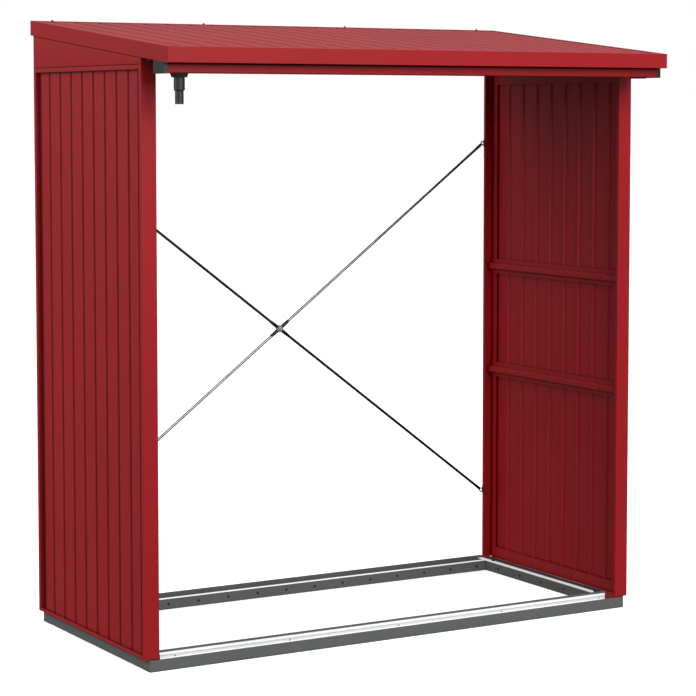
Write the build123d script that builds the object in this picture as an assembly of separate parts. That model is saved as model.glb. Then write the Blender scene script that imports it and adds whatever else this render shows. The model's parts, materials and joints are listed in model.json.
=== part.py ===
"""Log store of painted sheet steel with a single-pitch roof, open at the front and the back.

Units are millimetres. X runs along the front, Y from the front to the back and Z up, with
the ground at zero. Every piece is made at its place in the finished object.
"""

from build123d import *
import math
import os

os.makedirs("parts", exist_ok=True)

# Overall sizes
base_length = 1748
roof_depth = 996
front_edge_height = 1838
roof_pitch = 6
front_overhang = 181
back_overhang = 17

# Base frame
rail_width = 52
rail_sheet = 2
rail_height = 38
front_web_height = 36
front_stop_height = 51
back_stop_height = 46
flange_top = 35
side_flange_width = 20
back_flange_width = 30
strip_sheet = 1.5
sill_base = 1.5
sill_ridge_depth = 1.5
sill_ridge_count = 3
sill_ridge_width = 7
sill_top = 44
sill_end_gap = 5
rail_hole_radius = 3
rail_hole_height = 18
back_hole_count = 15
back_hole_margin = 90
side_hole_count = 5
side_hole_margin = 135

# Corner posts and side walls
wall_proud = 16
post_sheet = 1.5
post_face_width = 49
post_lip_depth = 12
post_face_inset = 3
post_back_inset = 1
post_margin_width = 16
fixing_flange_width = 25
foot_plate_depth = 45
foot_plate_top = 46
wall_sheet = 1
wall_recess = 9
wall_groove_depth = 6
wall_groove_open = 14
wall_groove_floor = 8
wall_groove_count = 10
rail_fold = 1.5
bottom_ledge_height = 8.5
bottom_leg_height = 40
bottom_web_inward = 12
wall_top_drop = 48
top_band_height = 15
top_leg_height = 42
fit_gap = 0.3
gable_sheet = 1.2
gable_flange_width = 18

# Girts inside the side walls
girt_sheet = 1.5
girt_face_height = 20
girt_leg_height = 13
girt_depth = 15
girt_slope = 3
lower_girt_share = 0.406
upper_girt_share = 0.614

# Roof
trim_sheet = 1.2
roof_sheet = 1
roof_groove_depth = 8
roof_groove_open = 14
roof_groove_floor = 8
roof_groove_count = 22
roof_groove_left_margin = 61.5
roof_groove_right_margin = 24.7
left_sheet_groove_count = 7
middle_sheet_groove_count = 7
roof_front_setback = 28
roof_back_setback = 3
side_fascia_height = 47
side_fascia_leg = 25
front_fascia_height = 46
back_fascia_height = 48
end_fascia_leg = 32
front_fascia_return = 30
back_fascia_return = 10

# Beams under the roof
beam_sheet = 1.5
beam_depth = 27
front_beam_drop = 65
back_beam_height = 85

# Gutter
gutter_sheet = 1.2
gutter_setback = 32
gutter_depth = 68.5
gutter_drop = 75
gutter_front_height = 28
gutter_back_height = 45
gutter_lip = 8
gutter_end_gap = 0.5
cap_plate = 2
cap_rim_length = 11.5
cap_rim_sheet = 1.5
outlet_inset = 65.6
outlet_flange_radius = 26.8
outlet_flange_edge = 22.5
outlet_flange_height = 11.5
outlet_wide_radius = 16
outlet_wide_length = 36
outlet_taper = 3
outlet_narrow_radius = 12.5
outlet_narrow_length = 38
outlet_bore_radius = 10.5
plug_height = 4
bracket_sheet = 2
bracket_width = 60
bracket_spread = 0.63
bracket_leg = 30

# Back brace
brace_low_share = 0.16
brace_high_share = 0.86
rod_radius = 4
rod_depth = 7
blade_width = 13
blade_thick = 3
blade_length = 22
blade_neck = 18
tab_thick = 2.5
tab_width = 12
tab_length = 30
hub_radius = 13
hub_length = 9

# Lines and heights that follow from the sizes above
half_base = base_length / 2
wall_face = half_base + wall_proud
wall_top = front_edge_height - wall_top_drop
roof_front = -roof_depth / 2
roof_back = roof_depth / 2
base_front = roof_front + front_overhang
base_back = roof_back - back_overhang
post_front = base_front + post_face_inset
post_back = base_back - post_back_inset
post_inner = wall_face - post_face_width
wall_front = post_front + post_margin_width
wall_back = post_back - post_margin_width
leg_face = half_base
roof_seat = trim_sheet + roof_groove_depth + roof_sheet
half_roof = wall_face + fit_gap + trim_sheet
slope_sin = math.sin(math.radians(roof_pitch))
slope_cos = math.cos(math.radians(roof_pitch))
slope_tan = math.tan(math.radians(roof_pitch))
gutter_front = roof_front + gutter_setback
gutter_back = gutter_front + gutter_depth
gutter_middle = (gutter_front + gutter_back) / 2
gutter_bottom = front_edge_height - gutter_drop
gutter_front_top = gutter_bottom + gutter_front_height
gutter_back_top = gutter_bottom + gutter_back_height
gutter_half = half_roof - trim_sheet - gutter_end_gap - cap_plate
outlet_x = gutter_half + cap_plate - outlet_inset
brace_low = brace_low_share * wall_top
brace_high = brace_high_share * wall_top
hub_height = (brace_low + brace_high) / 2
rod_y = post_back - rod_depth


def roof_z(y, depth):
    """Height of the sloping plane that lies the given depth under the roof's top face."""
    return front_edge_height + (y - roof_front) * slope_tan - depth / slope_cos


def right_normal(a, b):
    """Unit vector pointing to the right of the line from a to b."""
    length = math.hypot(b[0] - a[0], b[1] - a[1])
    return (b[1] - a[1]) / length, -(b[0] - a[0]) / length


def folded(path, sheet):
    """Closed outline of a folded sheet: the path is one face, the other lies to its right."""
    other_face = []
    for i, (u, v) in enumerate(path):
        before = right_normal(path[max(i - 1, 0)], path[max(i, 1)])
        after = right_normal(path[min(i, len(path) - 2)], path[min(i + 1, len(path) - 1)])
        mitre = sheet / (1 + before[0] * after[0] + before[1] * after[1])
        other_face.append((u + mitre * (before[0] + after[0]), v + mitre * (before[1] + after[1])))
    return list(path) + other_face[::-1]


def evenly(first, last, count):
    """Evenly spaced places from the first to the last."""
    return [first + i * (last - first) / (count - 1) for i in range(count)]


def prism(points, direction, length):
    """Straight bar swept from a closed outline of points in space."""
    return extrude(make_face(Polyline(*points, close=True)), amount=length, dir=direction)


def bar_x(outline, x_from, x_to):
    """Bar along X with an outline of (y, z) points."""
    return prism([(x_from, y, z) for y, z in outline], (1, 0, 0), x_to - x_from)


def bar_y(outline, y_from, y_to):
    """Bar along Y with an outline of (x, z) points."""
    return prism([(x, y_from, z) for x, z in outline], (0, 1, 0), y_to - y_from)


def bar_z(outline, z_from, z_to):
    """Bar along Z with an outline of (x, y) points."""
    return prism([(x, y, z_from) for x, y in outline], (0, 0, 1), z_to - z_from)


def bar_up_roof(outline, start, length):
    """Bar up the slope with an outline of (x, depth) points under the roof's top face."""
    y = roof_front + start * slope_cos
    z = front_edge_height + start * slope_sin
    points = [(x, y + depth * slope_sin, z - depth * slope_cos) for x, depth in outline]
    return prism(points, (0, slope_cos, slope_sin), length)


def rectangle(u_from, u_to, v_from, v_to):
    """Outline of a rectangle."""
    return [(u_from, v_from), (u_to, v_from), (u_to, v_to), (u_from, v_to)]


def mirrored(piece):
    """The same piece on the other side of the middle."""
    return mirror(piece, about=Plane.YZ)


# Front rail: an open channel with end plates and a taller inner web that stops the logs
def make_front_rail():
    inner = base_front + rail_width
    path = [(base_front, front_web_height), (base_front, 0), (inner, 0), (inner, front_web_height)]
    rail = bar_x(folded(path, -rail_sheet), -half_base, half_base)
    stop = rectangle(inner - rail_sheet, inner, front_web_height, front_stop_height)
    rail += bar_x(stop, -post_inner + sill_end_gap, post_inner - sill_end_gap)
    plate = rectangle(base_front, inner, 0, rail_height)
    rail += bar_x(plate, half_base - rail_sheet, half_base)
    rail += bar_x(plate, -half_base, -half_base + rail_sheet)
    return rail


# Back rail: a channel with an inward flange, taller between the posts
def make_back_rail():
    inner = base_back - rail_width
    path = [
        (base_back, rail_height),
        (base_back, 0),
        (inner, 0),
        (inner, flange_top),
        (inner + back_flange_width, flange_top),
    ]
    rail = bar_x(folded(path, rail_sheet), -half_base, half_base)
    stop = rectangle(base_back - rail_sheet, base_back, rail_height, back_stop_height)
    rail += bar_x(stop, -post_inner + fit_gap, post_inner - fit_gap)
    plate = rectangle(inner, base_back, 0, rail_height)
    rail += bar_x(plate, half_base - rail_sheet, half_base)
    rail += bar_x(plate, -half_base, -half_base + rail_sheet)
    for x in evenly(-half_base + back_hole_margin, half_base - back_hole_margin, back_hole_count):
        hole = Pos(x, inner + rail_sheet / 2, rail_hole_height) * Rot(90, 0, 0)
        rail -= hole * Cylinder(rail_hole_radius, 3 * rail_sheet)
    return rail


# Side rail: the same channel between the front and back rails
def make_side_rail():
    inner = half_base - rail_width
    path = [
        (half_base, rail_height),
        (half_base, 0),
        (inner, 0),
        (inner, flange_top),
        (inner + side_flange_width, flange_top),
    ]
    rail = bar_y(folded(path, rail_sheet), base_front + rail_width, base_back - rail_width)
    for y in evenly(base_front + side_hole_margin, base_back - side_hole_margin, side_hole_count):
        hole = Pos(inner + rail_sheet / 2, y, rail_hole_height) * Rot(0, 90, 0)
        rail -= hole * Cylinder(rail_hole_radius, 3 * rail_sheet)
    return rail


# Ribbed bright sill on the front rail's inner web
def make_front_sill():
    back = base_front + rail_width - rail_sheet
    face = back - sill_base
    half = post_inner - sill_end_gap
    sill = bar_x(rectangle(face, back, rail_sheet, sill_top), -half, half)
    pitch = (sill_top - rail_sheet) / sill_ridge_count
    for i in range(sill_ridge_count):
        middle = rail_sheet + (i + 0.5) * pitch
        ridge = [
            (face, middle - sill_ridge_width / 2),
            (face, middle + sill_ridge_width / 2),
            (face - sill_ridge_depth, middle + sill_ridge_width / 2 - sill_ridge_depth),
            (face - sill_ridge_depth, middle - sill_ridge_width / 2 + sill_ridge_depth),
        ]
        sill += bar_x(ridge, -half, half)
    return sill


# Bright strips on the side and back rails' flanges
def make_side_strip():
    inner = half_base - rail_width
    outline = rectangle(inner, inner + side_flange_width, flange_top, flange_top + strip_sheet)
    return bar_y(outline, base_front + rail_width, base_back - rail_sheet)


def make_back_strip():
    inner = base_back - rail_width
    outline = rectangle(inner, inner + back_flange_width, flange_top, flange_top + strip_sheet)
    half = half_base - rail_width - fit_gap
    return bar_x(outline, -half, half)


# Corner post: a folded section with a face, an inner lip, a margin, a step and a fixing flange
def make_post(at_front):
    face = post_front if at_front else post_back
    inward = 1 if at_front else -1

    def section(path):
        outline = folded(path, post_sheet)
        return [(x, face + inward * v) for x, v in outline]

    face_and_lip = section([(wall_face, 0), (post_inner, 0), (post_inner, post_lip_depth)])
    post = bar_z(face_and_lip, rail_height, front_edge_height + roof_depth)
    above = [
        (roof_front, roof_z(roof_front, roof_seat)),
        (roof_back, roof_z(roof_back, roof_seat)),
        (roof_back, front_edge_height + 2 * roof_depth),
        (roof_front, front_edge_height + 2 * roof_depth),
    ]
    post -= bar_x(above, 0, 2 * half_roof)
    margin_and_step = section(
        [
            (leg_face - post_sheet, post_margin_width),
            (wall_face, post_margin_width),
            (wall_face, 0),
            (wall_face - post_margin_width, 0),
        ]
    )
    post += bar_z(margin_and_step, rail_height, wall_top)
    flange = rectangle(0, post_sheet, post_margin_width, post_margin_width + fixing_flange_width)
    flange = [(leg_face - post_sheet + u, face + inward * v) for u, v in flange]
    flange_from = rail_height + bottom_leg_height + fit_gap
    post += bar_z(flange, flange_from, wall_top - top_leg_height - fit_gap)
    if at_front:
        foot = rectangle(post_inner, post_inner + post_sheet, face, face + foot_plate_depth)
        post += bar_z(foot, rail_sheet, foot_plate_top)
    return post


# Ribbed wall sheet, with grooves at an even pitch from one post to the other
def make_wall_sheet():
    flat = wall_face - wall_recess
    floor = flat - wall_groove_depth
    half_open = wall_groove_open / 2
    path = []
    for i, middle in enumerate(evenly(wall_front + half_open, wall_back - half_open, wall_groove_count)):
        if i > 0:
            path.append((flat, middle - half_open))
            path.append((floor, middle - wall_groove_floor / 2))
        else:
            path.append((floor, wall_front))
        if i < wall_groove_count - 1:
            path.append((floor, middle + wall_groove_floor / 2))
            path.append((flat, middle + half_open))
        else:
            path.append((floor, wall_back))
    outline = folded(path, -wall_sheet)
    return bar_z(outline, rail_height + rail_fold, wall_top - rail_fold)


# Rail along the foot of a side wall
def make_wall_bottom_rail():
    flat = wall_face - wall_recess
    web_inner = leg_face - bottom_web_inward
    path = [
        (flat, rail_height + bottom_ledge_height),
        (wall_face, rail_height + bottom_ledge_height),
        (wall_face, rail_height),
        (web_inner, rail_height),
    ]
    rail = bar_y(folded(path, rail_fold), wall_front, wall_back)
    leg = rectangle(leg_face - rail_fold, leg_face, rail_height, rail_height + bottom_leg_height)
    return rail + bar_y(leg, wall_front, wall_back)


# Rail along the head of a side wall
def make_wall_top_rail():
    flat = wall_face - wall_recess
    path = [
        (leg_face - rail_fold, wall_top - top_leg_height),
        (leg_face - rail_fold, wall_top),
        (wall_face, wall_top),
        (wall_face, wall_top - top_band_height),
        (flat, wall_top - top_band_height),
    ]
    return bar_y(folded(path, rail_fold), wall_front, wall_back)


# Gable panel over a side wall, with a flange under the roof
def make_gable_panel():
    y_from = post_front + post_sheet
    y_to = post_back - post_sheet
    panel = [
        (y_from, wall_top),
        (y_to, wall_top),
        (y_to, roof_z(y_to, roof_seat)),
        (y_from, roof_z(y_from, roof_seat)),
    ]
    flange = [
        (y_from, roof_z(y_from, roof_seat)),
        (y_from, roof_z(y_from, roof_seat + gable_sheet)),
        (y_to, roof_z(y_to, roof_seat + gable_sheet)),
        (y_to, roof_z(y_to, roof_seat)),
    ]
    gable = bar_x(panel, wall_face - gable_sheet, wall_face)
    return gable + bar_x(flange, wall_face - gable_flange_width, wall_face)


# Girt: a hat section along a side wall, seated on the posts' fixing flanges
def make_girt(share):
    middle = share * wall_top
    seat = leg_face - post_sheet
    crown = seat - girt_depth
    half = girt_face_height / 2
    foot = half + girt_slope
    path = [
        (seat, middle - foot - girt_leg_height),
        (seat, middle - foot + girt_sheet),
        (crown + girt_sheet, middle - half + girt_sheet),
        (crown + girt_sheet, middle + half - girt_sheet),
        (seat, middle + foot - girt_sheet),
        (seat, middle + foot + girt_leg_height),
    ]
    outline = folded(path[::-1], girt_sheet)
    return bar_y(outline, post_front + post_sheet, post_back - post_sheet)


# Ribbed roof sheet between two lines across the roof, with the grooves that lie between them
def make_roof_sheet(x_from, x_to):
    top = trim_sheet
    floor = top + roof_groove_depth
    path = [(x_from, top)]
    for middle in roof_grooves:
        if x_from < middle < x_to:
            path.append((middle - roof_groove_open / 2, top))
            path.append((middle - roof_groove_floor / 2, floor))
            path.append((middle + roof_groove_floor / 2, floor))
            path.append((middle + roof_groove_open / 2, top))
    path.append((x_to, top))
    outline = folded(path, -roof_sheet)
    slope_length = roof_depth / slope_cos
    return bar_up_roof(outline, roof_front_setback, slope_length - roof_front_setback - roof_back_setback)


# Fascia trims around the roof's four edges
def make_side_fascia():
    wall = [
        (roof_front, roof_z(roof_front, 0)),
        (roof_back, roof_z(roof_back, 0)),
        (roof_back, roof_z(roof_back, 0) - side_fascia_height),
        (roof_front, roof_z(roof_front, 0) - side_fascia_height),
    ]
    leg = [
        (roof_front, roof_z(roof_front, 0)),
        (roof_back, roof_z(roof_back, 0)),
        (roof_back, roof_z(roof_back, trim_sheet)),
        (roof_front, roof_z(roof_front, trim_sheet)),
    ]
    fascia = bar_x(wall, half_roof - trim_sheet, half_roof)
    return fascia + bar_x(leg, half_roof - side_fascia_leg, half_roof)


def make_end_fascia(edge, inward, height, fascia_return):
    top = roof_z(edge, 0)
    leg_end = edge + inward * end_fascia_leg * slope_cos
    between = half_roof - trim_sheet
    foot = edge + inward * fascia_return
    drop = trim_sheet / slope_cos
    inside = edge + inward * trim_sheet
    wall = [
        (edge, top - height),
        (inside, top - height),
        (inside, roof_z(inside, trim_sheet)),
        (edge, top - drop),
    ]
    lip = rectangle(inside, foot, top - height, top - height + trim_sheet)
    leg = [
        (edge, top),
        (leg_end, roof_z(leg_end, 0)),
        (leg_end, roof_z(leg_end, trim_sheet)),
        (edge, top - drop),
    ]
    inner_end = half_roof - side_fascia_leg - fit_gap
    fascia = bar_x(wall, -between, between) + bar_x(lip, -between, between)
    return fascia + bar_x(leg, -inner_end, inner_end)


# Channel beams between the front posts and between the back posts
def make_beam(outer, inward, bottom):
    inner = outer + inward * beam_depth
    path = [
        (inner, bottom),
        (outer, bottom),
        (outer, roof_z(outer, roof_seat)),
        (inner, roof_z(inner, roof_seat)),
    ]
    return bar_x(folded(path, inward * beam_sheet), -post_inner, post_inner)


# Box gutter under the front overhang, its back wall taller than its front
def make_gutter():
    path = [
        (gutter_front + gutter_lip, gutter_front_top),
        (gutter_front, gutter_front_top),
        (gutter_front, gutter_bottom),
        (gutter_back, gutter_bottom),
        (gutter_back, gutter_back_top),
    ]
    gutter = bar_x(folded(path, -gutter_sheet), -gutter_half, gutter_half)
    hole = Pos(-outlet_x, gutter_middle, gutter_bottom) * Cylinder(outlet_bore_radius, 4 * gutter_sheet)
    return gutter - hole


def make_gutter_cap():
    outer = rectangle(
        gutter_front - cap_rim_sheet,
        gutter_back + cap_rim_sheet,
        gutter_bottom - cap_rim_sheet,
        gutter_back_top,
    )
    inner = rectangle(gutter_front, gutter_back, gutter_bottom, gutter_back_top + cap_plate)
    cap = bar_x(outer, gutter_half - cap_rim_length, gutter_half + cap_plate)
    return cap - bar_x(inner, gutter_half - 2 * cap_rim_length, gutter_half)


# Stepped outlet under the gutter's left end and a plug under its right end
def make_gutter_outlet():
    z_flange = gutter_bottom - outlet_flange_height
    z_wide = z_flange - outlet_wide_length
    z_taper = z_wide - outlet_taper
    z_end = z_taper - outlet_narrow_length
    profile = [
        (outlet_bore_radius, gutter_bottom),
        (outlet_flange_radius, gutter_bottom),
        (outlet_flange_edge, z_flange),
        (outlet_wide_radius, z_flange),
        (outlet_wide_radius, z_wide),
        (outlet_narrow_radius, z_taper),
        (outlet_narrow_radius, z_end),
        (outlet_bore_radius, z_end),
    ]
    face = make_face(Polyline(*[(r, 0, z) for r, z in profile], close=True))
    return Pos(-outlet_x, gutter_middle, 0) * revolve(face, axis=Axis.Z)


def make_gutter_plug():
    place = Pos(outlet_x, gutter_middle, gutter_bottom - plug_height / 2)
    return place * Cylinder(outlet_flange_radius, plug_height)


# Bracket between the front beam and the gutter's back wall
def make_gutter_bracket(middle):
    path = [
        (gutter_back, gutter_back_top - bracket_leg),
        (gutter_back, gutter_back_top),
        (post_front, gutter_back_top),
        (post_front, gutter_back_top - bracket_leg),
    ]
    outline = folded(path, bracket_sheet)
    return bar_x(outline, middle - bracket_width / 2, middle + bracket_width / 2)


# Crossed brace in the back opening: four rods with flattened ends, bolted to one hub
def make_brace_hub():
    return Pos(0, rod_y, hub_height) * Rot(90, 0, 0) * Cylinder(hub_radius, hub_length)


def make_brace_rod(end_height):
    rise = end_height - hub_height
    reach = post_inner - tab_thick
    length = math.hypot(reach, rise)
    along = Vector(reach / length, 0, rise / length)
    hub = Vector(0, rod_y, hub_height)

    def plane_at(distance):
        return Plane(origin=hub + along * distance, x_dir=(0, 1, 0), z_dir=along)

    neck_end = blade_length + blade_neck
    blade = plane_at(0) * Rectangle(blade_thick, blade_width)
    rod = extrude(blade, amount=blade_length, dir=along)
    neck_from = plane_at(blade_length) * Rectangle(blade_thick, blade_width)
    neck_to = plane_at(neck_end) * Circle(rod_radius)
    rod += loft([neck_from, neck_to])
    rod += extrude(neck_to, amount=length + rod_radius - neck_end, dir=along)
    tab_y = (rod_y - tab_width / 2, rod_y + tab_width / 2)
    tab = rectangle(*tab_y, end_height - tab_length / 2, end_height + tab_length / 2)
    rod += bar_x(tab, post_inner - tab_thick, post_inner)
    past_tab = rectangle(*tab_y, end_height - tab_length, end_height + tab_length)
    rod -= bar_x(past_tab, post_inner, post_inner + tab_length)
    hole = Pos(0, rod_y, hub_height) * Rot(90, 0, 0) * Cylinder(hub_radius, 3 * rod_radius)
    return rod - hole


half_sheets = half_roof - trim_sheet - fit_gap
first_roof_groove = -half_roof + roof_groove_left_margin
last_roof_groove = half_roof - roof_groove_right_margin
roof_grooves = evenly(first_roof_groove, last_roof_groove, roof_groove_count)
right_seam_count = left_sheet_groove_count + middle_sheet_groove_count
seam_left = sum(roof_grooves[left_sheet_groove_count - 1 : left_sheet_groove_count + 1]) / 2
seam_right = sum(roof_grooves[right_seam_count - 1 : right_seam_count + 1]) / 2
seam_gap = fit_gap / 2
bracket_x = bracket_spread * half_base

pieces = {
    "front_rail": make_front_rail(),
    "back_rail": make_back_rail(),
    "right_rail": make_side_rail(),
    "front_sill": make_front_sill(),
    "right_rail_strip": make_side_strip(),
    "back_rail_strip": make_back_strip(),
    "front_right_post": make_post(True),
    "back_right_post": make_post(False),
    "right_wall_sheet": make_wall_sheet(),
    "right_wall_bottom_rail": make_wall_bottom_rail(),
    "right_wall_top_rail": make_wall_top_rail(),
    "right_gable": make_gable_panel(),
    "right_lower_girt": make_girt(lower_girt_share),
    "right_upper_girt": make_girt(upper_girt_share),
    "right_fascia": make_side_fascia(),
    "roof_sheet_left": make_roof_sheet(-half_sheets, seam_left - seam_gap),
    "roof_sheet_middle": make_roof_sheet(seam_left + seam_gap, seam_right - seam_gap),
    "roof_sheet_right": make_roof_sheet(seam_right + seam_gap, half_sheets),
    "front_fascia": make_end_fascia(roof_front, 1, front_fascia_height, front_fascia_return),
    "back_fascia": make_end_fascia(roof_back, -1, back_fascia_height, back_fascia_return),
    "front_beam": make_beam(post_front, 1, front_edge_height - front_beam_drop),
    "back_beam": make_beam(post_back, -1, roof_z(post_back, roof_seat) - back_beam_height),
    "gutter": make_gutter(),
    "right_gutter_cap": make_gutter_cap(),
    "gutter_outlet": make_gutter_outlet(),
    "gutter_plug": make_gutter_plug(),
    "left_gutter_bracket": make_gutter_bracket(-bracket_x),
    "right_gutter_bracket": make_gutter_bracket(bracket_x),
    "brace_hub": make_brace_hub(),
    "right_upper_rod": make_brace_rod(brace_high),
    "right_lower_rod": make_brace_rod(brace_low),
}

# Pieces on the right that have a twin on the left
twins = [
    "right_rail",
    "right_rail_strip",
    "front_right_post",
    "back_right_post",
    "right_wall_sheet",
    "right_wall_bottom_rail",
    "right_wall_top_rail",
    "right_gable",
    "right_lower_girt",
    "right_upper_girt",
    "right_fascia",
    "right_gutter_cap",
    "right_upper_rod",
    "right_lower_rod",
]
for name in twins:
    pieces[name.replace("right", "left")] = mirrored(pieces[name])

for name, piece in pieces.items():
    export_step(piece, f"parts/{name}.step")
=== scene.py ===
"""Looks of the log store: painted sheet steel in satin red, dark grey base rails, bright strips,
black gutter fittings and thin steel brace rods, in a pale studio.

Lengths are metres unless a name ends in _mm or _MM; the dressing's coordinates are millimetres.
X runs along the front, Y to the back, Z up. A side is -1 at the left and 1 at the right.
"""
import json
import math
import bpy
import bmesh
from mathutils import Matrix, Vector


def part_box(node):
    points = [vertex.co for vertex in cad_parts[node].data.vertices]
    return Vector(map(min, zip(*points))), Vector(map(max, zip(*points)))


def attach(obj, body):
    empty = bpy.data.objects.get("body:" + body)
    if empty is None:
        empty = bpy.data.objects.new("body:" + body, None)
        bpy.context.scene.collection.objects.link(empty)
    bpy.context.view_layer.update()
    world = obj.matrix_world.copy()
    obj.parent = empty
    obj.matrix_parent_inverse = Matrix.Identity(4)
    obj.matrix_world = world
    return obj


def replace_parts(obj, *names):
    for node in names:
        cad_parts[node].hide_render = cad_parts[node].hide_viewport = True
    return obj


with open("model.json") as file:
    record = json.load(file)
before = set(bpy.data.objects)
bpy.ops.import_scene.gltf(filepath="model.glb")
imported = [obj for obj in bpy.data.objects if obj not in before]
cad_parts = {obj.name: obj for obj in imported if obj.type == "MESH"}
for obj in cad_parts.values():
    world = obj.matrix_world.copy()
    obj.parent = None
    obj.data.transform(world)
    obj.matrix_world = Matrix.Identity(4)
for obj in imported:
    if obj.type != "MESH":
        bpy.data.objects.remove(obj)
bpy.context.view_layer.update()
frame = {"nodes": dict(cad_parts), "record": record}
MM = 0.001
SIDES = (-1, 1)

# Materials: texture scales are in features per metre
NOISE_MIDDLE = (0.3, 0.7)
SMEARS_PER_CLOUD = 9
GRAIN_SCALE = 900
GRAIN_DEPTH_MM = 0.02
GRAIN_STRENGTH = 0.25
# Painted shade in creases: reach and samples of the ambient occlusion that darkens the colour, and
# the share left on faces turned to the store's middle
SHADE_REACH_MM = 11
SHADE_SAMPLES = 6
INSIDE_SHADE = 0.4
FACING_OUT = (0.02, 0.08)
BRUSHED_ALONG_X = (1, 30, 30)


def linear(red, green, blue):
    """Linear light of a colour given as a screen shows it, from 0 to 255."""
    def channel(value):
        share = value / 255
        return share / 12.92 if share <= 0.04045 else ((share + 0.055) / 1.055) ** 2.4

    return channel(red), channel(green), channel(blue), 1.0


def new_material(name):
    material = bpy.data.materials.new(name)
    material.use_nodes = True
    return material, material.node_tree.nodes, material.node_tree.links


def noise(nodes, links, place, scale, detail, stretch=(1, 1, 1)):
    """Noise texture fixed to the object's own coordinates."""
    mapping = nodes.new("ShaderNodeMapping")
    mapping.inputs["Scale"].default_value = stretch
    links.new(place.outputs["Object"], mapping.inputs["Vector"])
    texture = nodes.new("ShaderNodeTexNoise")
    texture.inputs["Scale"].default_value = scale
    texture.inputs["Detail"].default_value = detail
    links.new(mapping.outputs["Vector"], texture.inputs["Vector"])
    return texture.outputs["Fac"]


def clouded(nodes, links, source, dark, light):
    """Colour that goes from dark to light over a noise's middle range."""
    node = nodes.new("ShaderNodeValToRGB")
    stops = zip(NOISE_MIDDLE, (dark, light))
    for element, (position, colour) in zip(node.color_ramp.elements, stops):
        element.position = position
        element.color = linear(*colour)
    links.new(source, node.inputs["Fac"])
    return node.outputs["Color"]


def value_range(nodes, links, source, low, high, inside=NOISE_MIDDLE):
    """Value mapped from one range to another and held within it."""
    node = nodes.new("ShaderNodeMapRange")
    node.inputs["From Min"].default_value, node.inputs["From Max"].default_value = inside
    node.inputs["To Min"].default_value, node.inputs["To Max"].default_value = low, high
    links.new(source, node.inputs["Value"])
    return node.outputs["Result"]


def outward_side(nodes, links):
    """1 on side and roof faces turned away from the store's middle, less on faces turned to it: the
    share of painted shade each face takes.
    """
    surface = nodes.new("ShaderNodeNewGeometry")
    from_middle = nodes.new("ShaderNodeVectorMath")
    from_middle.operation = "MULTIPLY_ADD"
    from_middle.inputs[1].default_value = (1, 0, 1)
    from_middle.inputs[2].default_value = (0, 0, -1)
    links.new(surface.outputs["Position"], from_middle.inputs[0])
    facing = nodes.new("ShaderNodeVectorMath")
    facing.operation = "DOT_PRODUCT"
    links.new(from_middle.outputs["Vector"], facing.inputs[0])
    links.new(surface.outputs["True Normal"], facing.inputs[1])
    return value_range(nodes, links, facing.outputs["Value"], INSIDE_SHADE, 1, FACING_OUT)


def dusted(nodes, links, colour, crease_shade, crease, sheltered_inside):
    """Colour darkened by ambient occlusion in creases and tight corners: painted shade."""
    openness = nodes.new("ShaderNodeAmbientOcclusion")
    openness.samples = SHADE_SAMPLES
    openness.inputs["Distance"].default_value = SHADE_REACH_MM * MM
    shade_mix = nodes.new("ShaderNodeMix")
    shade_mix.data_type = "RGBA"
    shade_mix.blend_type = "MULTIPLY"
    shade_mix.inputs["Factor"].default_value = 1
    if sheltered_inside:
        links.new(outward_side(nodes, links), shade_mix.inputs["Factor"])
    links.new(colour, shade_mix.inputs["A"])
    shade = value_range(nodes, links, openness.outputs["AO"], 1 - crease_shade, 1, crease)
    links.new(shade, shade_mix.inputs["B"])
    return shade_mix.outputs["Result"]


def finish_material(name, dark, light, roughness, metallic=0.0, cloud_scale=2.5,
                    stretch=(1, 1, 1), specular=0.5, crease_shade=0.0, crease=(0.66, 0.92),
                    sheltered_inside=True):
    """Coated or bare metal or plastic: clouded colour, uneven gloss and a fine surface grain.

    How much the colour darkens in creases and tight corners is painted shade, from ambient
    occlusion; crease is the range of openness, from a tight corner to a wide one, over which
    it fades. When asked, faces turned to the store's middle take less of this painted shade."""
    material, nodes, links = new_material(name)
    shader = nodes["Principled BSDF"]
    shader.inputs["Metallic"].default_value = metallic
    shader.inputs["Specular IOR Level"].default_value = specular
    place = nodes.new("ShaderNodeTexCoord")
    clouds = noise(nodes, links, place, cloud_scale, 3)
    colour = clouded(nodes, links, clouds, dark, light)
    if crease_shade:
        colour = dusted(nodes, links, colour, crease_shade, crease, sheltered_inside)
    links.new(colour, shader.inputs["Base Color"])
    smears = noise(nodes, links, place, cloud_scale * SMEARS_PER_CLOUD, 4, stretch)
    links.new(value_range(nodes, links, smears, *roughness), shader.inputs["Roughness"])
    relief = nodes.new("ShaderNodeBump")
    relief.inputs["Distance"].default_value = GRAIN_DEPTH_MM * MM
    relief.inputs["Strength"].default_value = GRAIN_STRENGTH
    links.new(noise(nodes, links, place, GRAIN_SCALE, 2, stretch), relief.inputs["Height"])
    links.new(relief.outputs["Normal"], shader.inputs["Normal"])
    return material


# The paints darken in creases and tight corners by painted shade; on the roof it reaches wider
# creases and its inner faces too
red_paint = finish_material(
    "red_paint", (131, 11, 18), (136, 13, 20), (0.42, 0.5), specular=0.2, crease_shade=0.65)
roof_paint = finish_material(
    "roof_paint", (131, 11, 18), (136, 13, 20), (0.42, 0.5), specular=0.2, crease_shade=0.7,
    crease=(0.84, 0.98), sheltered_inside=False)
grey_paint = finish_material(
    "grey_paint", (80, 82, 81), (86, 88, 87), (0.45, 0.55), specular=0.25, crease_shade=0.25)
bright_strip = finish_material(
    "bright_strip", (246, 247, 246), (251, 252, 251), (0.38, 0.5), stretch=BRUSHED_ALONG_X)
sill_strip = finish_material(
    "sill_strip", (222, 223, 222), (232, 233, 232), (0.38, 0.5), stretch=BRUSHED_ALONG_X)
black_plastic = finish_material("black_plastic", (17, 21, 18), (23, 28, 24), (0.28, 0.4))
black_steel = finish_material(
    "black_steel", (9, 9, 9), (16, 16, 16), (0.35, 0.5), specular=0.3)
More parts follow.
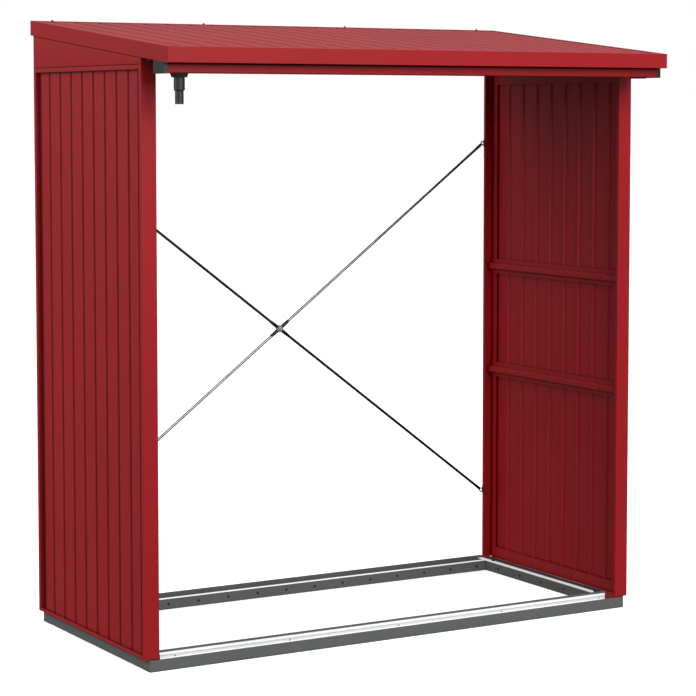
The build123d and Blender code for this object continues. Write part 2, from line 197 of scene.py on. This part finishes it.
# Near-black red for bars beside the posts: painted shadow along the wall sheets' ends
joint_seal = finish_material(
    "joint_seal", (52, 5, 8), (62, 7, 10), (0.6, 0.75), specular=0.1)
rod_steel = finish_material(
    "rod_steel", (112, 111, 110), (136, 135, 133), (0.2, 0.32), 1.0, cloud_scale=14)
# Darker copy of the rod steel: painted shade on one diagonal's rods, and also used for the rivets
dark_steel = finish_material(
    "dark_steel", (58, 56, 55), (74, 72, 70), (0.12, 0.22), 1.0, cloud_scale=14)
zinc = finish_material(
    "zinc", (146, 148, 150), (168, 169, 171), (0.28, 0.4), 0.9, cloud_scale=30)

slot_materials = {
    "painted_red": red_paint,
    "painted_grey": grey_paint,
    "bright_aluminium": bright_strip,
    "black_plastic": black_plastic,
    "steel_rod": rod_steel,
    "light_hub": zinc,
}
node_slot = {entry["node"]: entry["material_slot"] for entry in frame["record"]["subparts"]}
for name, node in frame["nodes"].items():
    for place in node.material_slots:
        place.material = slot_materials[node_slot[name]]


# Sizes of the solids that the dressing follows
POST_INNER_MM = 841
POST_FRONT_MM = -314
POST_BACK_MM = 480
WALL_FACE_MM = 890
WALL_TOP_MM = 1790
ROOF_FRONT_MM = -498
FRONT_EDGE_MM = 1838
ROOF_PITCH = math.radians(6)
ROOF_SEAT_MM = 10.2
SIDE_FASCIA_MM = 47
GIRT_CROWN_MM = 857.5
BACK_RAIL_FACE_MM = 429
SIDE_RAIL_FACE_MM = 822
SILL_FACE_MM = -268.5
STRIP_TOP_MM = 36.5
RAIL_HOLE_Z_MM = 18
HUB_MM = Vector((0, 473, 912.9))
ROD_ENDS_MM = {"upper": 1539.4, "lower": 286.4}


def roof_top(y_mm):
    """Height of the roof's top face above a line across the roof."""
    return FRONT_EDGE_MM + (y_mm - ROOF_FRONT_MM) * math.tan(ROOF_PITCH)


# Rounding of the solids' edges
SAME_PLACE = 0.001 * MM
FLAT_WITHIN = math.radians(0.3)
SMOOTH_BELOW_DEGREES = 32
WIDEST_OFFSET = 0.42


def clean_copy(name):
    """The mesh of a CAD node with its flat faces made whole again."""
    bm = bmesh.new()
    bm.from_mesh(frame["nodes"][name].data)
    bmesh.ops.remove_doubles(bm, verts=bm.verts, dist=SAME_PLACE)
    bmesh.ops.dissolve_limit(bm, angle_limit=FLAT_WITHIN, verts=bm.verts, edges=bm.edges)
    return bm


def local_width(face, edge):
    """Distance across a face from the middle of one of its edges."""
    middle = (edge.verts[0].co + edge.verts[1].co) / 2
    loop = next(loop for loop in face.loops if loop.edge == edge)
    along = (loop.link_loop_next.vert.co - loop.vert.co).normalized()
    inward = face.normal.cross(along)
    width = math.inf
    for other in face.edges:
        if other == edge:
            continue
        first, last = (vertex.co - middle for vertex in other.verts)
        before, after = first.dot(along), last.dot(along)
        if (before <= 0) != (after <= 0):
            share = before / (before - after)
            distance = first.dot(inward) + share * (last - first).dot(inward)
            if distance > SAME_PLACE:
                width = min(width, distance)
    return width


def rounding(bm, radius_for, least_width, least_turn=15):
    """Offsets for rounding the edges whose faces are wide enough; the others stay as cut."""
    offsets = {}
    for edge in bm.edges:
        if len(edge.link_faces) != 2:
            continue
        turn = edge.calc_face_angle_signed()
        if abs(turn) < math.radians(least_turn):
            continue
        width = min(local_width(face, edge) for face in edge.link_faces)
        if width < least_width or width == math.inf:
            continue
        offset = radius_for(turn) * math.tan(abs(turn) / 2)
        offsets[edge.index] = min(offset, WIDEST_OFFSET * width)
    return offsets


def put_in_scene(name, mesh, material):
    piece = bpy.data.objects.new(name, mesh)
    bpy.context.scene.collection.objects.link(piece)
    mesh.materials.clear()
    mesh.materials.append(material)
    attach(piece, "root")
    return piece


def shade_smoothly(bm, is_smooth):
    for face in bm.faces:
        face.smooth = True
    for edge in bm.edges:
        edge.smooth = is_smooth(edge)


def rounded_mesh(name, bm, offsets, segments):
    """Mesh with its chosen edges rounded, shaded smoothly over the bends and level between."""
    largest = max(offsets.values())
    weight = bm.edges.layers.float.new("bevel_weight_edge")
    bm.edges.ensure_lookup_table()
    for index, offset in offsets.items():
        bm.edges[index][weight] = offset / largest
    shallow = math.radians(SMOOTH_BELOW_DEGREES)
    shade_smoothly(bm, lambda edge: edge.index in offsets or edge.calc_face_angle(0) < shallow)
    draft = bpy.data.meshes.new(name + "_draft")
    bm.to_mesh(draft)
    holder = bpy.data.objects.new(name + "_draft", draft)
    bpy.context.scene.collection.objects.link(holder)
    bevel = holder.modifiers.new("bends", "BEVEL")
    bevel.limit_method = "WEIGHT"
    bevel.width = largest
    bevel.segments = segments
    bevel.harden_normals = True
    bevel.use_clamp_overlap = True
    level = holder.modifiers.new("level_faces", "WEIGHTED_NORMAL")
    level.mode = "FACE_AREA"
    level.keep_sharp = True
    bpy.context.view_layer.update()
    ready = holder.evaluated_get(bpy.context.evaluated_depsgraph_get())
    mesh = bpy.data.meshes.new_from_object(ready)
    mesh.name = name
    bpy.data.objects.remove(holder)
    bpy.data.meshes.remove(draft)
    return mesh


def stand_for(node_name, ending, bm, offsets, segments, material):
    """Puts a rounded copy of a CAD node in the scene in its place."""
    mesh = rounded_mesh(node_name + ending, bm, offsets, segments)
    bm.free()
    slot = node_slot[node_name]
    piece = put_in_scene(node_name + ending, mesh, material or slot_materials[slot])
    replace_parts(piece, node_name)


def fold_edges(name, sheet_mm, inside_mm, material=None):
    """Stands for a CAD node of folded sheet, with real bend radii along its folds."""
    bm = clean_copy(name)
    outside_mm = sheet_mm + inside_mm
    wider_than_cut_edges = 1.8 * sheet_mm * MM
    offsets = rounding(
        bm, lambda turn: (outside_mm if turn > 0 else inside_mm) * MM, wider_than_cut_edges)
    stand_for(name, "_folded", bm, offsets, 3, material)


def soften_edges(name, radius_mm, material=None):
    """Stands for a solid CAD node, with every sharp edge eased a little."""
    bm = clean_copy(name)
    offsets = rounding(bm, lambda turn: radius_mm * MM, 0.6 * radius_mm * MM, least_turn=30)
    stand_for(name, "_eased", bm, offsets, 2, material)


# Folded sheet pieces: thickness and inside bend radius in millimetres
SIDE_SHEETS = (
    ("front_{}_post", 1.5, 1.0),
    ("back_{}_post", 1.5, 1.0),
    ("{}_wall_sheet", 1.0, 1.2),
    ("{}_wall_bottom_rail", 1.5, 1.0),
    ("{}_wall_top_rail", 1.5, 1.2),
    ("{}_lower_girt", 1.5, 1.2),
    ("{}_upper_girt", 1.5, 1.2),
    ("{}_rail", 2.0, 1.5),
    ("{}_fascia", 1.2, 1.0),
    ("{}_gutter_bracket", 2.0, 1.5),
)
for side_name in ("left", "right"):
    for pattern, sheet_mm, inside_mm in SIDE_SHEETS:
        fold_edges(pattern.format(side_name), sheet_mm, inside_mm)
for name in ("roof_sheet_left", "roof_sheet_middle", "roof_sheet_right"):
    fold_edges(name, 1.0, 1.2, roof_paint)
for kind, sheet_mm, inside_mm in (("rail", 2.0, 1.5), ("fascia", 1.2, 1.0), ("beam", 1.5, 1.5)):
    for end_name in ("front", "back"):
        fold_edges(f"{end_name}_{kind}", sheet_mm, inside_mm)
fold_edges("gutter", 1.2, 3.0)


# Turned, flat and hexagonal shapes, collected in one mesh for each kind
def crossways(axis):
    """Unit axis and two unit directions square to it."""
    axis = Vector(axis).normalized()
    across = axis.orthogonal().normalized()
    return axis, across, axis.cross(across)


def band(bm, first, last):
    """Faces between two closed rings of the same number of points."""
    for i in range(len(first)):
        j = (i + 1) % len(first)
        bm.faces.new((first[i], first[j], last[j], last[i]))


def turned(bm, profile, place, axis, sides=20, turn=0.0):
    """Closed turned shape: profile holds (radius, height) from the base's middle to the top's."""
    axis, across, other = crossways(axis)
    rings = []
    for radius, height in profile:
        centre = Vector(place) + axis * height
        if radius == 0:
            rings.append([bm.verts.new(centre * MM)])
            continue
        points = []
        for i in range(sides):
            angle = turn + 2 * math.pi * i / sides
            out = across * math.cos(angle) + other * math.sin(angle)
            points.append(bm.verts.new((centre + out * radius) * MM))
        rings.append(points)
    for low, high in zip(rings, rings[1:]):
        if len(low) == len(high):
            band(bm, low, high)
            continue
        middle, rim = (low[0], high) if len(low) == 1 else (high[0], low)
        for i in range(sides):
            bm.faces.new((rim[i], rim[(i + 1) % sides], middle))


def ring(bm, place, axis, inner, outer, height, sides=24):
    """Flat ring with an eased outer rim, such as a grommet or an eye."""
    axis, across, other = crossways(axis)
    profile = [(inner, 0), (outer, 0), (outer, 0.7 * height), (outer - 0.3 * height, height),
               (inner + 0.2 * height, height), (inner, 0.8 * height)]
    loops = []
    for i in range(sides):
        angle = 2 * math.pi * i / sides
        out = across * math.cos(angle) + other * math.sin(angle)
        loops.append([bm.verts.new((Vector(place) + out * radius + axis * rise) * MM)
                      for radius, rise in profile])
    for first, last in zip(loops, loops[1:] + loops[:1]):
        band(bm, first, last)


def bar(bm, low, high, ease):
    """Straight bar between two corners, its long and short edges all chamfered."""
    block = bmesh.new()
    bmesh.ops.create_cube(block, size=1)
    size = Vector(high) - Vector(low)
    middle = (Vector(high) + Vector(low)) / 2
    for vertex in block.verts:
        vertex.co = Vector(a * b + c for a, b, c in zip(vertex.co, size, middle)) * MM
    bmesh.ops.bevel(block, geom=list(block.edges), offset=ease * MM, segments=1, affect="EDGES")
    mesh = bpy.data.meshes.new("bar")
    block.to_mesh(mesh)
    block.free()
    bm.from_mesh(mesh)
    bpy.data.meshes.remove(mesh)


def side_bar(bm, side, x_from, x_to, y_ends, z_ends, ease):
    """Bar beside one of the walls, its X range given as distances from the middle."""
    low_x, high_x = sorted((side * x_from, side * x_to))
    bar(bm, (low_x, y_ends[0], z_ends[0]), (high_x, y_ends[1], z_ends[1]), ease)


def hex_head(bm, place, axis, across_flats, height, washer):
    """Flanged hexagon head: a washer, chamfered flats and a dished top."""
    rim = washer / 2
    turned(bm, [(0, 0), (rim, 0), (rim, 0.7), (rim * 0.82, 1.2), (0, 1.2)], place, axis, 24)
    corner = across_flats / math.sqrt(3)
    profile = [(0, 1.1), (corner, 1.1), (corner, height - 0.6), (corner * 0.88, height),
               (corner * 0.45, height), (corner * 0.3, height - 0.4), (0, height - 0.4)]
    turned(bm, profile, place, axis, 6, math.pi / 6)


def pan_head(bm, place, axis, radius, height):
    """Domed head with a small recess."""
    profile = [(0, 0), (radius, 0), (radius, 0.35 * height), (radius * 0.86, 0.75 * height),
               (radius * 0.55, height), (radius * 0.32, height), (radius * 0.2, 0.55 * height),
               (0, 0.5 * height)]
    turned(bm, profile, place, axis, 16)


def joined(name, bm, material, smooth_below=40):
    """Makes one piece of the scene from a finished mesh under work."""
    bmesh.ops.recalc_face_normals(bm, faces=bm.faces)
    shallow = math.radians(smooth_below)
    shade_smoothly(bm, lambda edge: edge.calc_face_angle(0) < shallow)
    mesh = bpy.data.meshes.new(name)
    bm.to_mesh(mesh)
    bm.free()
    return put_in_scene(name, mesh, material)


# Gable panels: a lip turned in over the top rail and a joggle tucked behind the side fascia
GABLE_SHEET_MM = 1.2
GABLE_BEND_MM = 2.8
GABLE_LIP_MM = 14
GABLE_FLANGE_MM = 18
JOGGLE_MM = 2.6


def rounded_path(corners, radius_mm, steps=3):
    """The corners of an open path with each inner one turned into an arc."""
    points = [corners[0]]
    for before, corner, after in zip(corners, corners[1:], corners[2:]):
        to_before = Vector((before[0] - corner[0], before[1] - corner[1]))
        to_after = Vector((after[0] - corner[0], after[1] - corner[1]))
        turn = math.pi - to_before.angle(to_after)
        reach = min(radius_mm * math.tan(turn / 2), 0.45 * to_before.length, 0.45 * to_after.length)
        corner = Vector(corner)
        start = corner + to_before.normalized() * reach
        end = corner + to_after.normalized() * reach
        for i in range(steps + 1):
            t = i / steps
            points.append(tuple(start * (1 - t) ** 2 + corner * 2 * t * (1 - t) + end * t ** 2))
    points.append(corners[-1])
    return points


def sheet_outline(corners, sheet_mm, radius_mm):
    """Closed outline of a bent sheet whose other face lies to the left of the path."""
    face = rounded_path(corners, radius_mm)
    back = []
    for i, point in enumerate(face):
        before = face[max(i - 1, 0)]
        after = face[min(i + 1, len(face) - 1)]
        along = Vector((after[0] - before[0], after[1] - before[1])).normalized()
        back.append((point[0] - along.y * sheet_mm, point[1] + along.x * sheet_mm))
    return face + back[::-1]


def gable_section(y_mm):
    """Corners of a gable panel's outer face from its lip to the flange under the roof."""
    foot = WALL_TOP_MM + 0.2
    hidden = roof_top(y_mm) - SIDE_FASCIA_MM
    seat = roof_top(y_mm) - ROOF_SEAT_MM
    return [
        (WALL_FACE_MM - GABLE_LIP_MM, foot),
        (WALL_FACE_MM, foot),
        (WALL_FACE_MM, hidden - 3.2),
        (WALL_FACE_MM - JOGGLE_MM, hidden - 0.4),
        (WALL_FACE_MM - JOGGLE_MM, seat),
        (WALL_FACE_MM - GABLE_FLANGE_MM, seat),
    ]


def make_gables():
    low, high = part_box("left_gable")
    for name, side in (("left_gable", -1), ("right_gable", 1)):
        bm = bmesh.new()
        ends = []
        for y in (low[1], high[1]):
            outline = sheet_outline(gable_section(y / MM), GABLE_SHEET_MM, GABLE_BEND_MM)
            ends.append([bm.verts.new((side * x * MM, y, z * MM)) for x, z in outline])
        band(bm, *ends)
        bm.faces.new(ends[0])
        bm.faces.new(ends[1][::-1])
        piece = joined(name + "_panel", bm, red_paint, SMOOTH_BELOW_DEGREES)
        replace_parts(piece, name)


make_gables()


# Small dressing
def make_hole_rims():
    """Black grommets in the base rails' cable and drain holes."""
    bm = bmesh.new()
    sizes = {"inner": 1.7, "outer": 3.9, "height": 1.2}
    sunk = 0.2
    for i in range(-7, 8):
        place = (112 * i, BACK_RAIL_FACE_MM + sunk, RAIL_HOLE_Z_MM)
        ring(bm, place, (0, -1, 0), **sizes)
    for side in SIDES:
        for i in range(5):
            place = (side * (SIDE_RAIL_FACE_MM + sunk), -182 + 132 * i, RAIL_HOLE_Z_MM)
            ring(bm, place, (-side, 0, 0), **sizes)
    joined("hole_rims", bm, black_steel)


def make_wall_trims():
    """Dark bars of painted shadow where the wall sheets meet the posts, and a bright bead at their
    foot.
    """
    shadow_bars, beads = bmesh.new(), bmesh.new()
    for side in SIDES:
        for y_ends in ((-284, -274), (440, 450)):
            side_bar(shadow_bars, side, 880.9, 881.9, y_ends, (47, 1774), 0.3)
        side_bar(beads, side, 858.9, 860.6, (-262, 462), (39.4, 41.4), 0.4)
    joined("wall_seals", shadow_bars, joint_seal)
    joined("wall_beads", beads, zinc)


def make_channel_covers():
    """Grey plates that close the side rails between their strips and the wall rails."""
    bm = bmesh.new()
    for side in SIDES:
        side_bar(bm, side, 842.2, 860, (-264, 428), (33.4, 34.9), 0.3)
    joined("channel_covers", bm, grey_paint)


def make_foot_gussets():
    """Slanted plates from the front posts' lips to the ends of the sill."""
    start, end = Vector((840.4, -312.4)), Vector((833.2, -271.4))
    thick, foot, top, corner, ease = 1.5, 2.3, 50, 4, 1.2
    along = (end - start).normalized()
    through = Vector((along.y, -along.x)) * thick
    span = (end - start).length
    outline = [(0, foot), (span, foot), (span, top - corner), (span - ease, top - ease),
               (span - corner, top), (0, top)]
    bm = bmesh.new()
    for side in SIDES:
        faces = []
        for shift in (Vector((0, 0)), through):
            points = [(start + along * distance - shift, z) for distance, z in outline]
            faces.append([bm.verts.new((side * place.x * MM, place.y * MM, z * MM))
                          for place, z in points])
        band(bm, *faces)
        bm.faces.new(faces[0])
        bm.faces.new(faces[1][::-1])
    joined("foot_gussets", bm, red_paint, 20)


def make_roof_screws():
    bm = bmesh.new()
    y = 484
    normal = (0, -math.sin(ROOF_PITCH), math.cos(ROOF_PITCH))
    for x in (-822, -279, 265, 810):
        hex_head(bm, (x, y, roof_top(y)), normal, across_flats=5.5, height=4.6, washer=10)
    joined("roof_screws", bm, red_paint)


def make_strip_bolts():
    """Hexagon bolt heads with a small recess, on washers, along the side strips."""
    bm = bmesh.new()
    washer = [(0, 0), (5, 0), (5, 1), (4.2, 1.4), (0, 1.4)]
    head = [(0, 1.3), (4.4, 1.3), (4.4, 7.2), (3.8, 8), (2.0, 8), (1.9, 7), (0, 7)]
    for side in SIDES:
        for y in (-208, 401):
            place = (side * 837.5, y, STRIP_TOP_MM)
            turned(bm, washer, place, (0, 0, 1), 24)
            turned(bm, head, place, (0, 0, 1), 6)
    joined("strip_bolts", bm, black_steel)


def make_sill_screws():
    bm = bmesh.new()
    for x in (-768, -374, 20, 414, 808):
        pan_head(bm, (x, SILL_FACE_MM, 30), (0, -1, 0), radius=2.6, height=1.6)
    joined("sill_screws", bm, zinc)


def make_girt_screws():
    bm = bmesh.new()
    for side in SIDES:
        for z in (726.7, 1099.1):
            for y in (-196, 362):
                place = (side * GIRT_CROWN_MM, y, z)
                hex_head(bm, place, (-side, 0, 0), across_flats=5, height=4, washer=9)
    joined("girt_screws", bm, red_paint)


def make_post_screws():
    bm = bmesh.new()
    x = 865
    for side in SIDES:
        pan_head(bm, (side * x, POST_FRONT_MM, 1803.5), (0, -1, 0), radius=3.2, height=2.2)
        for z in (1890, 1872):
            pan_head(bm, (side * x, POST_BACK_MM, z), (0, 1, 0), radius=3.2, height=2.2)
    joined("post_screws", bm, zinc)


make_hole_rims()
make_wall_trims()
make_channel_covers()
make_foot_gussets()
make_roof_screws()
make_strip_bolts()
make_sill_screws()
make_girt_screws()
make_post_screws()


# Crossed brace: round rods with an eye at the post and a tapered sleeve at the hub
ROD_RADIUS_MM = 4.7
ROD_START_MM = 30
EYE_INNER_MM = 4.2
EYE_OUTER_MM = 8.2
EYE_THICK_MM = 3.2
EYE_GAP_MM = 1.5
SLEEVE_SECTIONS_MM = [(2, 5.2, 3.6), (10, 6.2, 5.0), (26, 6.2, 6.2), (42, 5.1, 5.1),
                      (42.6, 4.8, 4.8)]
TAB_THICK_MM = 2


def lathe_along(bm, start, along, sections, flat, sides=20):
    """Bar with an oval section that changes along it: sections hold (distance, wide, thick)."""
    wide = along.cross(flat)
    rings = []
    for distance, half_wide, half_thick in sections:
        loop = []
        for i in range(sides):
            angle = 2 * math.pi * i / sides
            out = wide * math.cos(angle) * half_wide + flat * math.sin(angle) * half_thick
            loop.append(bm.verts.new((start + along * distance + out) * MM))
        rings.append(loop)
    for low, high in zip(rings, rings[1:]):
        band(bm, low, high)
    bm.faces.new(rings[0][::-1])
    bm.faces.new(rings[-1])


def make_rod(name, side, end_height, material):
    """Rod from the hub to the post, flattened into an eye at its outer end."""
    eye = Vector((side * (POST_INNER_MM - EYE_GAP_MM - EYE_OUTER_MM), HUB_MM.y, end_height))
    along = (eye - HUB_MM).normalized()
    length = (eye - HUB_MM).length
    radius = ROD_RADIUS_MM
    flat = Vector((0, 1, 0))
    sections = [(ROD_START_MM, radius, radius), (length - 40, radius, radius),
                (length - 30, radius + 0.4, 0.75 * radius), (length - 20, radius + 1, 2.2),
                (length - EYE_OUTER_MM + 0.4, radius + 0.6, 0.5 * EYE_THICK_MM)]
    bm = bmesh.new()
    lathe_along(bm, HUB_MM, along, sections, flat)
    front = eye - flat * EYE_THICK_MM / 2
    ring(bm, front, flat, EYE_INNER_MM, EYE_OUTER_MM, EYE_THICK_MM, 32)
    piece = joined(name + "_bar", bm, material)
    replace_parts(piece, name)


def make_rod_sleeves():
    """Dark tapered sleeves that clamp the four rods around the hub."""
    bm = bmesh.new()
    for side in SIDES:
        for height in ROD_ENDS_MM.values():
            along = (Vector((side * POST_INNER_MM, HUB_MM.y, height)) - HUB_MM).normalized()
            lathe_along(bm, HUB_MM, along, SLEEVE_SECTIONS_MM, Vector((0, 1, 0)))
    joined("rod_sleeves", bm, black_steel)


def make_rod_tabs():
    """Small plates with two rivets that hold the eyes on the back posts' lips."""
    tabs, rivets = bmesh.new(), bmesh.new()
    inner = POST_INNER_MM - TAB_THICK_MM
    for side in SIDES:
        for height in ROD_ENDS_MM.values():
            y_ends = (HUB_MM.y - 6, HUB_MM.y + 6)
            side_bar(tabs, side, inner, POST_INNER_MM, y_ends, (height - 13, height + 13), 0.5)
            for rise in (-9.5, 9.5):
                place = (side * inner, HUB_MM.y, height + rise)
                pan_head(rivets, place, (-side, 0, 0), radius=2.2, height=1.4)
    joined("rod_tabs", tabs, red_paint)
    joined("rod_rivets", rivets, dark_steel)


def make_hub_bolt():
    """Heads of the hub's bolt, in front and behind."""
    bm = bmesh.new()
    for facing in (-1, 1):
        place = HUB_MM + Vector((0, facing * 6.6, 0))
        hex_head(bm, place, (0, facing, 0), across_flats=7, height=4, washer=10)
    joined("hub_bolt", bm, zinc)


# One diagonal's rods take the darker copy of the steel: painted shade, so the same rods look less
# lit than the other diagonal
for side_name, side in (("left", -1), ("right", 1)):
    for level_name, height in ROD_ENDS_MM.items():
        light = (side_name, level_name) in (("left", "lower"), ("right", "upper"))
        material = rod_steel if light else dark_steel
        make_rod(f"{side_name}_{level_name}_rod", side, height, material)
make_rod_sleeves()
make_rod_tabs()
make_hub_bolt()
soften_edges("brace_hub", 0.8)


# Moulded gutter fittings, and the extruded strips
for name in ("left_gutter_cap", "right_gutter_cap"):
    soften_edges(name, 1.0)
soften_edges("gutter_outlet", 0.8)
soften_edges("gutter_plug", 1.0)
soften_edges("front_sill", 0.4, sill_strip)
for name in ("left_rail_strip", "right_rail_strip"):
    soften_edges(name, 0.4)


def make_back_strip():
    """Bright strip on the back rail's flange, narrower than its solid."""
    low, high = (Vector(corner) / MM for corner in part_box("back_rail_strip"))
    bm = bmesh.new()
    width = 14
    bar(bm, low, (high.x, low.y + width, high.z), 0.4)
    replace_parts(joined("back_strip_bar", bm, bright_strip), "back_rail_strip")


make_back_strip()


# Studio: pale floor, white surroundings and soft lights
SOFT_LIGHT_FROM = (-0.2, -0.35, 0.9)
SOFT_LIGHT = (0.1, 1.55)
SOFT_LIGHT_FALL = 2.0
WHITE = (1, 1, 1, 1)
FLOOR_GREY = (0.8, 0.8, 0.8, 1)
FLOOR_GLOW = 0.4
FLOOR_REACH = 60.0


def make_floor():
    """Pale floor that the camera sees, but that throws no light back at the object."""
    mesh = bpy.data.meshes.new("floor")
    reach = FLOOR_REACH
    corners = [(-reach, -reach, 0), (reach, -reach, 0), (reach, reach, 0), (-reach, reach, 0)]
    mesh.from_pydata(corners, [], [(0, 1, 2, 3)])
    floor = bpy.data.objects.new("floor", mesh)
    bpy.context.scene.collection.objects.link(floor)
    paper, nodes, _ = new_material("paper")
    shader = nodes["Principled BSDF"]
    shader.inputs["Base Color"].default_value = FLOOR_GREY
    shader.inputs["Roughness"].default_value = 0.9
    shader.inputs["Emission Color"].default_value = WHITE
    shader.inputs["Emission Strength"].default_value = FLOOR_GLOW
    mesh.materials.append(paper)
    floor.visible_diffuse = False
    floor.visible_glossy = False


def make_world():
    """White seen directly; softer light from the front and above falls on the object."""
    world = bpy.data.worlds.new("studio")
    world.use_nodes = True
    nodes, links = world.node_tree.nodes, world.node_tree.links
    seen = nodes["Background"]
    seen.inputs["Color"].default_value = WHITE
    seen.inputs["Strength"].default_value = 1.0
    place = nodes.new("ShaderNodeTexCoord")
    facing = nodes.new("ShaderNodeVectorMath")
    facing.operation = "DOT_PRODUCT"
    facing.inputs[1].default_value = Vector(SOFT_LIGHT_FROM).normalized()
    links.new(place.outputs["Generated"], facing.inputs[0])
    curve = nodes.new("ShaderNodeMath")
    curve.operation = "POWER"
    curve.inputs[1].default_value = SOFT_LIGHT_FALL
    share = value_range(nodes, links, facing.outputs["Value"], 0, 1, inside=(-1, 1))
    links.new(share, curve.inputs[0])
    strength = value_range(nodes, links, curve.outputs["Value"], *SOFT_LIGHT, inside=(0, 1))
    falling = nodes.new("ShaderNodeBackground")
    falling.inputs["Color"].default_value = WHITE
    links.new(strength, falling.inputs["Strength"])
    ray = nodes.new("ShaderNodeLightPath")
    mix = nodes.new("ShaderNodeMixShader")
    links.new(ray.outputs["Is Camera Ray"], mix.inputs["Fac"])
    links.new(falling.outputs["Background"], mix.inputs[1])
    links.new(seen.outputs["Background"], mix.inputs[2])
    links.new(mix.outputs["Shader"], nodes["World Output"].inputs["Surface"])
    bpy.context.scene.world = world


def area_light(name, place, target, size, watts):
    data = bpy.data.lights.new(name, "AREA")
    data.shape = "SQUARE"
    data.size = size
    data.energy = watts
    light = bpy.data.objects.new(name, data)
    light.location = place
    light.rotation_euler = (Vector(target) - Vector(place)).to_track_quat("-Z", "Y").to_euler()
    bpy.context.scene.collection.objects.link(light)


def make_camera():
    """Camera at the photograph's viewing angle, fitted to its corners."""
    data = bpy.data.cameras.new("camera")
    data.lens = 117.56
    data.sensor_width = 36.0
    data.shift_x = -0.0045
    data.shift_y = -0.1
    camera = bpy.data.objects.new("camera", data)
    camera.location = (-3.7321, -6.3023, 1.6584)
    yaw, pitch = math.radians(30.66), math.radians(4.241)
    camera.rotation_euler = (math.pi / 2 - pitch, 0, -yaw)
    bpy.context.scene.collection.objects.link(camera)
    bpy.context.scene.camera = camera


make_floor()
make_world()
area_light("key", place=(0.2, -5.0, 4.2), target=(0, 0, 1.0), size=4.0, watts=330)
area_light("side", place=(-5.5, 1.5, 3.5), target=(0, 0, 1.2), size=3.0, watts=170)
make_camera()
bpy.context.scene.view_settings.view_transform = "Standard"
